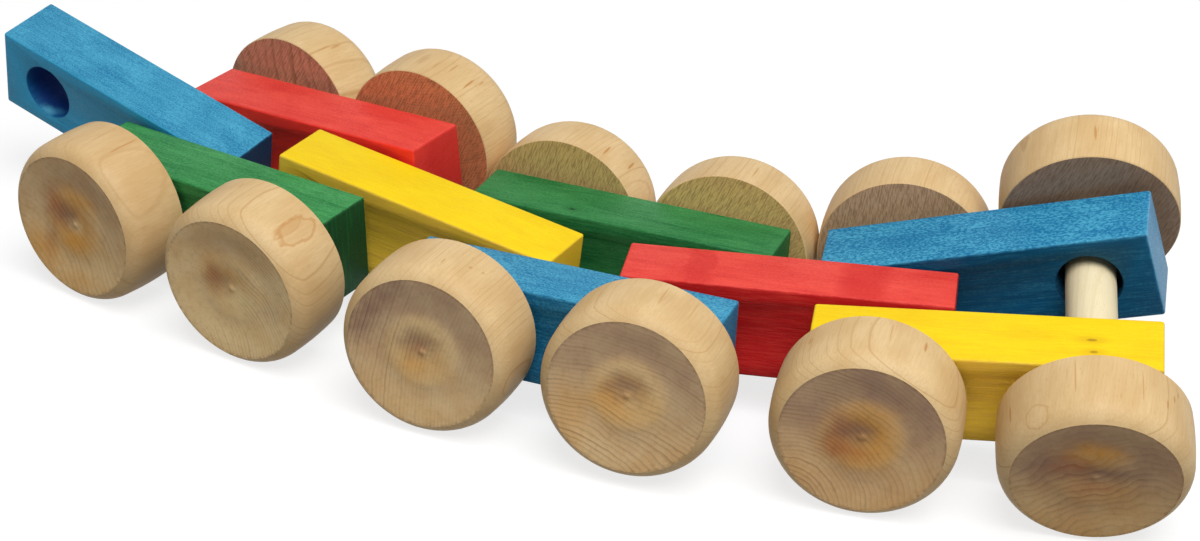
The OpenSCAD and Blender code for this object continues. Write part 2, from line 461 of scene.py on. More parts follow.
def stainedWood(name, look):
    work = stainWork
    stain = stains[look["stain"]]
    material, tree, shader = newMaterial(name + "Stain", roughness=0.5, specular=0.2)
    place = attributeOf(tree, "blockPlace")
    x, y = axesOf(tree, place)[:2]
    grainPlace = nodeOf(tree, "ShaderNodeMapping", {
        "Vector": place,
        "Location": (look["seed"] * work["seedStep"], -look["pith"][0], -look["pith"][1]),
        "Rotation": (0, math.radians(look["tilt"][0]), math.radians(look["tilt"][1])),
    }, vector_type="POINT").outputs[0]
    rings, fibres = grainOf(tree, grainPlace, work["rings"], work["fineness"])
    half = tuple(blockShape[side] / 2 for side in ("length", "thickness", "height"))
    edges = useGroup(tree, blockEdge, {"Place": place, "Half Size": half, "Width": work["edgeWidth"]})

    # the stain soaks in unevenly: streaks, clouds, growth rings, pores and small flecks of raised grain
    stretch, scale, *others = work["flecks"]
    flecks = maskOf(tree, grainPlace, (stretch, look.get("fleckScale", scale), *others))
    depth = times(tree, fibres["Streak"], stain["streak"])
    depth = timesPlus(tree, fibres["Cloud"], work["cloud"], depth)
    depth = timesPlus(tree, flecks, look.get("fleck", stain["fleck"]), depth)
    depth = timesPlus(tree, rings["Line"], work["line"] * stain["streak"], depth)
    depth = timesPlus(tree, fibres["Pore"], work["pore"], depth)
    colour = tinted(tree, linear(stain["light"]), stain["deep"], depth)

    # cross bands, where the fibres wave and catch the light differently
    for centre, width, strength in look.get("bands", []):
        sway = noiseOf(tree, place, *work["bandNoise"])
        sway = timesPlus(tree, sway, work["bandSway"], -work["bandSway"] / 2)
        off = maths(tree, "ABSOLUTE", maths(tree, "SUBTRACT", maths(tree, "ADD", x, sway), centre))
        band = ramp(tree, off, width * work["bandCore"], width, 1.0, 0.0)
        colour = tinted(tree, colour, stain["deep"], band, strength)

    # the sides and the end grain drink more stain
    uneven = timesPlus(tree, fibres["Streak"], work["uneven"], 1 - work["uneven"])
    sideShare = look.get("side", stain["sideShare"])
    colour = tinted(tree, colour, stain[look.get("sideTone", "side")], edges["Side"], uneven, sideShare)
    colour = tinted(tree, colour, look.get("end", stain["end"]), edges["End"], work["end"])
    if "endDark" in look:
        rightHalf = ramp(tree, x, *work["rightHalf"])
        colour = tinted(tree, colour, stain["dark"], edges["End"], rightHalf, look["endDark"])
    if "endStreak" in look:
        streaks = maskOf(tree, place, work["endStreaks"])
        colour = tinted(tree, colour, stain["deep"], edges["End"], streaks, look["endStreak"])

    # the drilled walls are darker, partly their torn wood and partly painted shade; on the head block painted
    # shade deepens further inside and painted light spots lie on the wall
    fromMiddle = vectorMaths(tree, "ABSOLUTE", place)
    away = vectorMaths(tree, "SUBTRACT", fromMiddle, (blockShape["holePitch"] / 2, 0, 0))
    away = vectorMaths(tree, "LENGTH", stretched(tree, away, (1, 0, 1)))
    full, gone = (blockShape["holeRadius"] + reach for reach in work["wallReach"])
    wall = ramp(tree, away, full, gone, 1.0, 0.0)
    wallShare = look.get("wall", work["wall"])
    colour = tinted(tree, colour, stain[look.get("wallTone", "dark")], wall, wallShare)
    if "wallDepth" in look:
        deepInside = ramp(tree, maths(tree, "ABSOLUTE", y), *work["boreDepth"], look["wallDepth"], 0.0)
        colour = tinted(tree, colour, stain["bore"], wall, deepInside)
    # painted highlights where light falls on the hole's wall
    for centre, size, strength in look.get("glints", []):
        glint = patchOf(tree, place, centre, size)
        colour = tinted(tree, colour, stain["glint"], glint["Soft"], strength, wall)

    # a little stain is rubbed off along the edges
    rub = maskOf(tree, place, work["rub"])
    colour = tinted(tree, colour, stain["light"], edges["Edge"], rub, work["rubbed"])
    if "shade" in look:
        colour = tinted(tree, colour, stain["dark"], look["shade"])
    for centre, radius, shares, strength in look.get("knots", []):
        knot = patchOf(tree, place, centre, tuple(radius / share for share in shares))
        colour = tinted(tree, colour, stain["deep"], knot["Halo"], work["haloDeep"])
        colour = tinted(tree, colour, stain["dark"], knot["Halo"], work["haloDark"])
        colour = tinted(tree, colour, stain["dark"], knot["Inside"], strength)

    roughness = timesPlus(tree, flecks, work["rougher"], work["smoothest"])
    tree.links.new(roughness, shader.inputs["Roughness"])
    height = timesPlus(tree, flecks, work["fleckHeight"], fibres["Streak"])
    height = timesPlus(tree, fibres["Pore"], -work["poreDepth"], height)
    finishWood(tree, shader, colour, height, work)
    return material


def modelBlock():
    shape = blockShape
    size = [shape[side] * mm for side in ("length", "thickness", "height")]
    block = newPiece("blockMaster", bpy.ops.mesh.primitive_cube_add, size=1, location=(0, 0, 0))
    block.scale = size
    bpy.ops.object.transform_apply(scale=True)
    ease = block.modifiers.new("easedEdges", "BEVEL")
    ease.width = shape["edgeWidth"] * mm
    ease.segments = shape["edgeSteps"]
    applyModifiers(block)
    for side in (-1, 1):
        drill = newPiece(
            "drill", bpy.ops.mesh.primitive_cylinder_add,
            vertices=shape["holeSides"], radius=shape["holeRadius"] * mm,
            depth=size[1] * shape["drillLength"], rotation=(math.pi / 2, 0, 0),
            location=(side * shape["holePitch"] / 2 * mm, 0, 0))
        cut = block.modifiers.new("crossHole", "BOOLEAN")
        cut.operation = "DIFFERENCE"
        cut.solver = "EXACT"
        cut.object = drill
        applyModifiers(block)
        dropMaster(drill)

    def onRim(spot):
        away = min(math.hypot(spot.x - side * shape["holePitch"] / 2, spot.z) for side in (-1, 1))
        return abs(away - shape["holeRadius"]) < hair and abs(abs(spot.y) - shape["thickness"] / 2) < hair

    selectEdges(block, onRim)
    bpy.ops.mesh.bevel(offset=shape["rimWidth"] * mm, segments=shape["rimSteps"], affect="EDGES")
    bpy.ops.transform.vertex_random(offset=shape["tornFibre"] * mm, seed=shape["tornSeed"])
    bpy.ops.object.mode_set(mode="OBJECT")
    smoothByAngle(block, shape["smoothAngle"])
    storePlace(block, "blockPlace", lambda spot: spot)
    return block


def placeOfBlock(node):
    # the two largest sets of faces with one direction are the sides and the top of the block
    mesh = frame["nodes"][node].data
    areas = {}
    for face in mesh.polygons:
        key = tuple(round(abs(v), 3) for v in face.normal)
        total, normal = areas.get(key, (0.0, Vector()))
        turned = face.normal if face.normal.dot(normal) >= 0 else -face.normal
        areas[key] = (total + face.area, normal + turned * face.area)
    found = sorted(areas.values(), key=lambda pair: -pair[0])[:2]
    side, top = (normal.normalized() for total, normal in found)
    if abs(side.z) > abs(top.z):
        side, top = top, side
    side = side if side.y > 0 else -side
    top = top if top.z > 0 else -top
    along = side.cross(top).normalized()
    top = along.cross(side)
    ends = [[spot.dot(axis) for spot in (v.co for v in mesh.vertices)] for axis in (along, side, top)]
    middle = sum(((min(e) + max(e)) / 2 * axis for e, axis in zip(ends, (along, side, top))), Vector())
    return frameMatrix(along, side, top, middle)


bodyOf = {node: body for body, nodes in frame["record"]["behaviour"]["bodies"].items() for node in nodes}


def finishPiece(piece, node, *materials):
    # clearing the slots puts every face on the first one, so each face gets its own again
    indices = [min(face.material_index, len(materials) - 1) for face in piece.data.polygons]
    piece.data.materials.clear()
    for material in materials:
        piece.data.materials.append(material)
    piece.data.polygons.foreach_set("material_index", indices)
    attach(piece, bodyOf[node])
    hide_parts(node)


blockMaster = modelBlock()
for node, look in blockLooks.items():
    block = copyOf(blockMaster, node.replace("_", " ").title().replace(" ", ""))
    moveTo(block, placeOfBlock(node))
    finishPiece(block, node, stainedWood(node.replace("_", ""), look))
dropMaster(blockMaster)
print("blocks done")


# The dowels

dowelShape = {
    "radius": 7.95, "halfLength": 57.4, "endBevel": 0.8, "bevelSteps": 3, "sides": 96, "smoothAngle": 35,
}

# lean: how far the fibres run off the axle, pith: how far the tree's centre lies off a dowel,
# pithStep and trunkStep: how much further off it, and along the tree, each next dowel lies
dowelLook = {
    "light": (240, 226, 188), "deep": (226, 206, 162), "line": (204, 176, 128), "pore": (196, 168, 124),
    "rings": {"Spacing": 1.9, "Wander": 2.0, "Ripple": 0.1}, "fineness": 1.2,
    "streakShare": 0.25, "lineShare": 0.22, "poreShare": 0.3, "bump": 0.2, "bumpHeight": 0.06,
    "lean": 2, "pith": (5, 14), "pithStep": 3, "trunkStep": 40,
}


def modelDowel():
    shape = dowelShape
    dowel = newPiece(
        "dowelMaster", bpy.ops.mesh.primitive_cylinder_add, vertices=shape["sides"],
        radius=shape["radius"] * mm, depth=2 * shape["halfLength"] * mm, location=(0, 0, 0))
    selectEdges(dowel, lambda spot: abs(abs(spot.z) - shape["halfLength"]) < hair)
    bpy.ops.mesh.bevel(offset=shape["endBevel"] * mm, segments=shape["bevelSteps"], affect="EDGES")
    bpy.ops.object.mode_set(mode="OBJECT")
    smoothByAngle(dowel, shape["smoothAngle"])
    return dowel


def dowelWood():
    look = dowelLook
    material, tree, shader = newMaterial("dowelBirch", roughness=0.5, specular=0.2)
    place = attributeOf(tree, "woodPlace")
    rings, fibres = grainOf(tree, place, look["rings"], look["fineness"])
    colour = tinted(tree, linear(look["light"]), look["deep"], fibres["Streak"], look["streakShare"])
    colour = tinted(tree, colour, look["line"], rings["Line"], look["lineShare"])
    colour = tinted(tree, colour, look["pore"], fibres["Pore"], look["poreShare"])
    finishWood(tree, shader, colour, fibres["Streak"], look)
    return material


# The wheels

wheelShape = {
    "radius": 28.8, "width": 23.8, "innerBevel": 0.3, "treadFall": 0.3,
    "shoulderWidth": 7.0, "shoulderTurn": 62, "faceRadius": 24.8, "faceDeepest": 4,
    "dishDepth": 1.3, "dishEdge": 1.06, "dishAt": 0.52, "ringDepth": 1.2, "ringAt": 0.42, "hollowDepth": 1.8,
    "nubRadius": 3.0, "nubHeight": 0.5, "nubSpread": 1.0,
    "socketRadius": 8.0, "socketDepth": 15, "socketBevel": 0.4, "faceFromAxle": 42.7,
    "sides": 144, "treadSteps": 8, "shoulderSteps": 8, "faceSteps": 30,
    "nubSteps": (0.8, 0.62, 0.48, 0.36, 0.25, 0.15, 0.07), "smoothAngle": 32,
}

# pith: where the growth rings' centre lies on the face, spacing: between the rings, wander and wave: how
# far they bend, line: how strong they show, bold: towards where they show most, and the share left
# opposite, bows: centre, reach and rings of each bulge in them, lean: how far the fibres run off the axle,
# smoke: how strong the grey painted shade on the face is, ground: its wood's colour, warm: how
# golden that is, amber: how golden the raised ring is, inside: the colour of the inner face, patches: centre,
# size, colour and strength of each patch on the face, most of them stains in the wood and some painted
# shade and painted light, tan: how dark the tread is, tread: marks on the tread, as degrees from the top,
# height over the inner face, width, length and strength, and the strength of an outline where there is one
wheelLooks = {
    "front_wheel_1": {
        "pith": (-34, -34), "spacing": 2.3, "wander": 1.6, "wave": 1.5, "line": 0.34, "lean": 6,
        "smoke": 0.42, "ground": "pale", "warm": 0.3, "amber": 1.0, "bold": (16, -14, 0.35),
        "bows": [(2, 2, 15, 1.6)], "tan": 0.2,
        "patches": [
            # the umber patches at (2, 12) and (-3, 3) are painted shade on the upper dish and in the hollow, the
            # pale one at (10, -15) is painted light low on the dish
            (2, 12, 24, 14, "umber", 0.25), (-16, -14, 13, 11, "amber", 0.75), (1, 9, 12, 7, "amber", 0.8),
            (0, -7, 9, 6, "amber", 0.8), (3, -20, 14, 6, "amber", 0.4), (-8, 4, 6, 9, "rust", 0.85),
            (-3, 3, 6, 6, "umber", 0.8), (-12, -10, 4, 9, "rust", 0.35), (10, -15, 12, 9, "pale", 0.4)],
        "tread": [(21, 7, 0.35, 9, 0.6), (4, 8, 0.3, 8, 0.3)]},
    "front_wheel_2": {
        "pith": (-26, -32), "spacing": 1.35, "wander": 3.0, "wave": 2.0, "line": 0.38, "lean": 5,
        "smoke": 0.12, "ground": "pale", "warm": 0.0, "amber": 0.3, "bold": (18, -6, 0.1),
        "bows": [(0, 0, 12, 1.5)],
        "patches": [
            # the umber patches at (0, 17) and (-5, 2) are painted shade on the upper dish and in the hollow, the
            # brightest one at (4, -3.5) is a painted highlight, the pale one at (-6, -16) is painted light low on
            # the dish
            (0, 17, 24, 9, "umber", 0.35), (-6, 4, 10, 9, "amber", 0.5), (-5, 2, 8, 7, "umber", 0.6),
            (-7, 3, 4, 6, "rust", 0.5), (4, -3.5, 7, 6, "bright", 0.8), (15, -4, 6, 5, "umber", 0.2),
            (-6, -16, 20, 11, "pale", 0.8)],
        "tread": [(41, 10.5, 4.8, 8.8, 0.18, 0.42), (36, 13, 2.4, 7, 0.18, 0.22), (-12, 6, 0.5, 2, 0.3)]},
    "front_wheel_3": {
        "pith": (70, -14), "spacing": 1.3, "wander": 1.4, "wave": 0.8, "line": 0.45, "lean": 3,
        "smoke": 0.7, "warm": 0.15, "amber": 0.3, "bold": (-18, -6, 0.4),
        "patches": [
            # the umber patch at (-2, 3) is painted shade in the hollow
            (-21, 4, 5, 6, "umber", 0.8), (-18, 10, 5, 6, "umber", 0.8), (-14, 16, 5, 6, "umber", 0.7),
            (-9, 21, 6, 5, "umber", 0.6), (-3, -5, 6, 7, "amber", 0.6), (-2, 3, 9, 6, "umber", 0.75),
            (-1, 1, 3, 3, "rust", 0.5)],
        "tread": [(5, 15, 0.35, 2.6, 0.55), (21, 11.5, 0.8, 0.8, 0.45), (29, 10, 0.6, 0.7, 0.45)]},
    "front_wheel_4": {
        "pith": (-15, -75), "spacing": 1.4, "wander": 1.8, "wave": 1.7, "line": 0.54, "lean": 4,
        "smoke": 0.72, "warm": 0.25, "amber": 0.5, "bold": (-8, -18, 0.6),
        "bows": [(4, -7, 15, 1.0), (4, -34, 36, 6)],
        "patches": [
            # the umber patch at (-1, 3) is painted shade in the hollow, the cream one at (3, -3) is painted light
            (-5, -2, 10, 8, "amber", 0.6), (-1, 3, 9, 6, "umber", 0.75), (3, -3, 5, 4, "cream", 0.3),
            (-18, -8, 9, 14, "amber", 0.35), (4, -17, 18, 9, "umber", 0.18)],
        "tread": [(10, 9, 0.3, 8, 0.45), (30, 8, 0.3, 9, 0.3)]},
    "front_wheel_5": {
        "pith": (-22, -38), "spacing": 1.4, "wander": 1.8, "wave": 1.8, "line": 0.5, "lean": 5,
        "smoke": 0.85, "warm": 0.6, "amber": 1.0, "bold": (-16, 2, 0.5),
        "bows": [(2, -5, 15, 2.0), (6, -34, 36, 6)],
        "patches": [
            # the umber patch at (2, 10) is painted shade on the upper dish, those at (-5, 1) and (-1, 2) are
            # painted shade in the hollow
            (2, 10, 26, 18, "umber", 0.25), (0, 1, 13, 12, "amber", 0.75), (2, 8, 11, 6, "amber", 0.45),
            (-7, 1, 5, 9, "rust", 0.7), (-5, 1, 9, 8, "umber", 0.55), (-3, -6, 9, 4, "rust", 0.5),
            (-1, 2, 7, 5, "umber", 0.75), (-9, -5, 5, 4, "rust", 0.4), (0, -17, 22, 10, "umber", 0.3)],
        "tread": [(30, 7, 0.6, 3, 0.7), (-42, 8, 1.0, 2, 0.4), (8, 7, 0.25, 8, 0.4)]},
    "front_wheel_6": {
        "pith": (34, -70), "spacing": 2.8, "wander": 4.0, "wave": 3.0, "line": 0.34, "lean": 7,
        "smoke": 0.7, "warm": 0.5, "amber": 0.2, "bold": (0, -20, 0.35), "bows": [(0, 2, 14, 2.0)],
        "patches": [
            # the umber patch at (0, 2) is painted shade in the hollow
            (0, 4, 30, 24, "umber", 0.5), (-2, 10, 12, 7, "amber", 0.9), (0, -5, 12, 6, "rust", 0.45),
            (-14, 4, 12, 8, "umber", 0.7), (0, 2, 12, 4, "umber", 0.8), (9, 3, 8, 5, "umber", 0.6),
            (-8, 4, 8, 6, "rust", 0.55), (12, -10, 12, 10, "gold", 0.25)],
        "tread": [
            (-66, 12, 0.5, 4, 0.7), (-20, 8, 0.3, 9, 0.5), (19, 10, 0.3, 8, 0.5), (36, 12, 0.5, 2, 0.6),
            (42, 8, 0.5, 1.6, 0.6), (46, 5, 0.4, 1.5, 0.6), (-45, 19, 4.5, 4.5, 0.0, 0.3)]},
    # where a back wheel has an umber patch just above the middle, it is painted shade in the hollow
    "back_wheel_1": {
        "pith": (60, 12), "spacing": 4.2, "wander": 1.8, "line": 1.0, "lean": 6, "smoke": 0.8,
        "inside": "rosy", "amber": 0.6, "patches": [(2, 3, 9, 8, "amber", 0.6), (1, 2, 5, 4, "umber", 0.4)],
        "tread": [(-27, 12, 0.5, 3, 0.5), (-24, 7, 0.4, 3, 0.4)]},
    "back_wheel_2": {
        "pith": (8, 80), "spacing": 1.1, "wander": 2.0, "line": 0.45, "lean": 4, "smoke": 0.3,
        "inside": "russet", "amber": 0.7,
        "patches": [(-2, 1, 9, 10, "amber", 0.7), (-3, 0, 5, 5, "rust", 0.4)],
        "tread": [
            (-17, 11, 0.3, 4, 0.6), (-33, 9, 0.4, 4, 0.8), (-38, 15, 0.35, 3, 0.6), (-6, 8, 0.3, 3, 0.45)]},
    "back_wheel_3": {
        "pith": (-66, 28), "spacing": 1.3, "wander": 2.0, "line": 0.5, "lean": 5, "smoke": 0.6,
        "inside": "olive", "amber": 0.4,
        "patches": [(1, -2, 9, 7, "amber", 0.6), (0, 1, 6, 5, "umber", 0.6)],
        "tread": [(-46, 11, 0.5, 3.5, 0.8), (-27, 7, 0.4, 4, 0.8)]},
    "back_wheel_4": {
        "pith": (-54, -40), "spacing": 1.2, "wander": 2.0, "line": 0.5, "lean": 3, "smoke": 0.5,
        "inside": "olive", "amber": 0.5,
        "patches": [(3, 0, 10, 7, "amber", 0.7), (1, 2, 5, 5, "umber", 0.4)],
        "tread": [(-12, 9, 0.35, 5, 0.55)]},
    "back_wheel_5": {
        "pith": (-50, 52), "spacing": 1.5, "wander": 1.6, "line": 0.5, "lean": 4, "smoke": 0.6,
        "inside": "dusky", "amber": 0.6,
        "patches": [(0, 2, 9, 9, "amber", 0.6), (-2, 0, 6, 5, "rust", 0.6)]},
    "back_wheel_6": {
        "pith": (50, 36), "spacing": 1.3, "wander": 2.4, "line": 0.6, "lean": 6, "smoke": 0.8,
        "inside": "smoky", "amber": 0.4,
        "patches": [(-1, 0, 10, 9, "amber", 0.6), (2, 3, 6, 5, "umber", 0.5)],
        "tread": [(5, 11, 0.5, 4, 0.65)]},
}

# the grey tone laid over the upper face is painted shade, and the brightest tone, in a patch by the nub, is a
# painted highlight
mapleColours = {
    "cream": (228, 198, 148), "honey": (216, 182, 130), "grain": (190, 146, 92), "fleck": (190, 144, 88),
    "mark": (186, 124, 54), "end": (244, 214, 160), "pale": (255, 224, 168), "gold": (234, 184, 112),
    "smoke": (172, 143, 128), "bright": (255, 232, 174), "line": (122, 86, 54), "amber": (228, 162, 70),
    "rust": (176, 96, 58), "umber": (144, 110, 96), "rosy": (242, 176, 138), "russet": (240, 164, 112),
    "olive": (230, 198, 120), "dusky": (214, 180, 138), "smoky": (178, 152, 128),
}


def softStep(low, high, share):
    return low + (high - low) * (1 - math.cos(math.pi * share)) / 2


def faceDepth(r):
    shape = wheelShape
    edge, dish, ring = (shape[key] * shape["faceRadius"] for key in ("dishEdge", "dishAt", "ringAt"))
    if r > dish:
        depth = softStep(shape["dishDepth"], 0, (r - dish) / (edge - dish))
    elif r > ring:
        depth = softStep(shape["ringDepth"], shape["dishDepth"], (r - ring) / (dish - ring))
    else:
        depth = softStep(shape["hollowDepth"], shape["ringDepth"], r / ring)
        depth -= shape["nubHeight"] * math.exp(-(r / shape["nubSpread"]) ** 2)
    return depth


def wheelRings():
    # the turned outline from the inner rim to the nub, as radius and height above the inner face
    shape = wheelShape
    crown = (shape["width"] - shape["shoulderWidth"]) / 2
    shoulderStart = shape["width"] - shape["shoulderWidth"]

    def treadAt(x):
        return shape["radius"] - shape["treadFall"] * ((x - crown) / crown) ** 2

    rings = []
    for step in range(shape["treadSteps"] + 1):
        x = shape["innerBevel"] + (shoulderStart - shape["innerBevel"]) * step / shape["treadSteps"]
        rings.append((treadAt(x), x))
    turn = math.radians(shape["shoulderTurn"])
    start = treadAt(shoulderStart)
    for step in range(1, shape["shoulderSteps"] + 1):
        a = turn * step / shape["shoulderSteps"]
        rings.append((
            start - (start - shape["faceRadius"]) * (1 - math.cos(a)) / (1 - math.cos(turn)),
            shoulderStart + shape["shoulderWidth"] * math.sin(a) / math.sin(turn),
        ))
    rim, nub, steps = shape["faceRadius"], shape["nubRadius"], shape["faceSteps"]
    radii = [rim + (nub - rim) * step / steps for step in range(1, steps + 1)]
    radii += [nub * share for share in shape["nubSteps"]]
    return rings + [(r, shape["width"] - faceDepth(r)) for r in radii]


def modelWheel():
    shape = wheelShape
    rings = wheelRings()
    innerRim = rings[0][0] - shape["innerBevel"]
    wheel = newPiece(
        "wheelMaster", bpy.ops.mesh.primitive_cylinder_add, vertices=shape["sides"],
        radius=innerRim * mm, depth=shape["innerBevel"] * mm,
        location=(0, 0, shape["innerBevel"] / 2 * mm), end_fill_type="NGON")
    bpy.ops.object.transform_apply(location=True)
    selectFaces(wheel, lambda spot, normal: normal.z > 0.9)
    grow = rings[0][0] / innerRim
    bpy.ops.transform.resize(value=(grow, grow, 1), center_override=(0, 0, 0))
    for (r0, z0), (r1, z1) in zip(rings, rings[1:]):
        bpy.ops.mesh.extrude_region_move(TRANSFORM_OT_translate={"value": (0, 0, (z1 - z0) * mm)})
        bpy.ops.transform.resize(value=(r1 / r0, r1 / r0, 1), center_override=(0, 0, 0))
    bpy.ops.mesh.merge(type="CENTER")
    bpy.ops.object.mode_set(mode="OBJECT")

    # the socket for the dowel, with a small bevel at its mouth: radius before and after, and rise
    selectFaces(wheel, lambda spot, normal: normal.z < -0.9 and spot.z < hair)
    socket, bevel = shape["socketRadius"], shape["socketBevel"]
    for before, after, rise in ((innerRim, socket + bevel, 0), (socket + bevel, socket, bevel),
                                (socket, socket, shape["socketDepth"] - bevel)):
        bpy.ops.mesh.extrude_region_move(TRANSFORM_OT_translate={"value": (0, 0, 0)})
        bpy.ops.transform.resize(value=(after / before, after / before, 1), center_override=(0, 0, 0))
        bpy.ops.transform.translate(value=(0, 0, rise * mm))
    bpy.ops.object.mode_set(mode="OBJECT")
    smoothByAngle(wheel, shape["smoothAngle"])
    storePlace(wheel, "wheelPlace", lambda spot: spot)

    # the tread's wood is the first material, the outer face's the second, the inner face's the third
    for face in wheel.data.polygons:
        r = math.hypot(face.center.x, face.center.y) / mm
        z = face.center.z / mm
        outer = z > shape["width"] - shape["faceDeepest"] and r < shape["faceRadius"] and face.normal.z > 0.5
        inSocket = r < socket + 0.5 and z < shape["socketDepth"] + 0.1
        inner = (z < 0.1 and face.normal.z < -0.5) or inSocket
        face.material_index = 1 if outer else 2 if inner else 0
    return wheel


# spacing and wander: times those of the face's rings, seldom: which rings show, by chance,
# streak, line, pore and fleck: the strength of each
treadWork = {
    "spacing": 1.3, "wander": 0.7, "rings": {"Ripple": 0.14, "Start": 0.78, "Steady": 0.3},
    "fineness": 1.0, "seldom": (0.05, 0.6), "flecks": ((0.35, 1.7, 1.7), 1.0, 3.0, 0.6, 0.62, 0.74),
    "streak": 0.2, "line": 0.6, "pore": 0.3, "fleck": 0.45, "raggedness": 0.8,
    "bump": 0.2, "bumpHeight": 0.06,
}


def mapleTread(name, look):
    work = treadWork
    tones = mapleColours
    material, tree, shader = newMaterial(name + "Tread", roughness=0.5, specular=0.2)
    place = attributeOf(tree, "woodPlace")
    spot = attributeOf(tree, "wheelPlace")
    rings, fibres = grainOf(tree, place, {
        "Spacing": look["spacing"] * work["spacing"], "Wander": look["wander"] * work["wander"],
        **work["rings"]}, work["fineness"])
    seldom = ramp(tree, rings["Year"], *work["seldom"])
    colour = tinted(tree, linear(tones["cream"]), tones["honey"], fibres["Cloud"])
    colour = tinted(tree, colour, tones["grain"], look.get("tan", 0.0))
    colour = tinted(tree, colour, tones["grain"], fibres["Streak"], work["streak"])
    colour = tinted(tree, colour, tones["grain"], rings["Line"], seldom, work["line"])
    colour = tinted(tree, colour, tones["fleck"], fibres["Pore"], work["pore"])
    colour = tinted(tree, colour, tones["fleck"], maskOf(tree, place, work["flecks"]), work["fleck"])
    for turn, height, wide, long, filling, *outline in look.get("tread", []):
        centre = Vector((math.sin(math.radians(turn)), math.cos(math.radians(turn)), 0))
        centre = centre * wheelShape["radius"] + Vector((0, 0, height))
        mark = patchOf(tree, spot, centre, (wide, wide, long), work["raggedness"])
        colour = tinted(tree, colour, tones["mark"], mark["Inside"], filling)
        if outline:
            colour = tinted(tree, colour, tones["mark"], mark["Outline"], *outline)
    height = maths(tree, "SUBTRACT", fibres["Streak"], fibres["Pore"])
    finishWood(tree, shader, colour, height, work)
    return material


# cloud to rimWear: masks, golden, crest and lowHaze: radii where a ring of gold, a painted
# highlight on its upper side and a ring of painted shade start, are full, fall and end, goldenShare and
# lowHazeShare: how strong these are, warm, golden and shade with cloud: how clouds change them,
# crestUpward and hazeUpward: heights on the face, and shares at them, hazeClear: radii, and shares
# of the painted shade there, streaky: how far rings show in the patches, faintest: the least share of a line,
# boldReach: from the faint side to the bold one, insideHaze and insideLine: shares of these on the inner face
faceWork = {
    "rings": {"Ripple": 0.35, "Start": 0.42, "Steady": 0.28}, "raggedness": 1.3,
    "cloud": ((1, 1, 1), 0.1, 2.0, 0.5, 0.3, 0.7), "dots": ((0.3, 1, 1), 2.2, 2.0, 0.5, 0.45, 0.75),
    "mottle": ((0.3, 1, 1), 0.5, 3.0, 0.6, 0.45, 0.75), "fading": ((1, 1, 1), 0.07, 1.0, 0.5, 0.3, 0.65),
    "scratches": ((0.2, 2.0, 1), 1.0, 3.0, 0.7, 0.45, 0.6), "rimWear": ((1, 1, 1), 0.7, 2.0, 0.5, 0.3, 0.7),
    "warmCloud": 0.45, "warmShare": 0.8, "golden": (0.5, 6, 8, 13), "goldenCloud": -0.5, "goldenShare": 0.8,
    "crest": (5.5, 8.5, 9.5, 13), "crestUpward": (-4, 6, 0.1, 0.55),
    "hazeUpward": (-22, 14, 0.3, 1.0), "hazeClear": (9, 15, 0.15, 1.0), "lowHaze": (9, 13, 15, 20),
    "lowHazeShare": 0.45, "hazeCloud": 0.25, "hazeLeast": 0.7, "streaky": 0.35,
    "mottleShare": 0.15, "faintest": 0.45, "boldReach": (-12, 14), "dotShare": 0.1,
    "rim": (23.6, 24.9), "rimShare": 0.5, "scratchShare": 0.46, "insideHaze": 0.4, "insideLine": 0.6,
    "turning": {"Scale": 0.55, "Distortion": 0.5, "Detail": 1.0},
    "lineDepth": -0.5, "dotDepth": -0.4, "scratchHeight": 0.6, "turningHeight": 0.25,
    "bump": 0.3, "bumpHeight": 0.1,
}


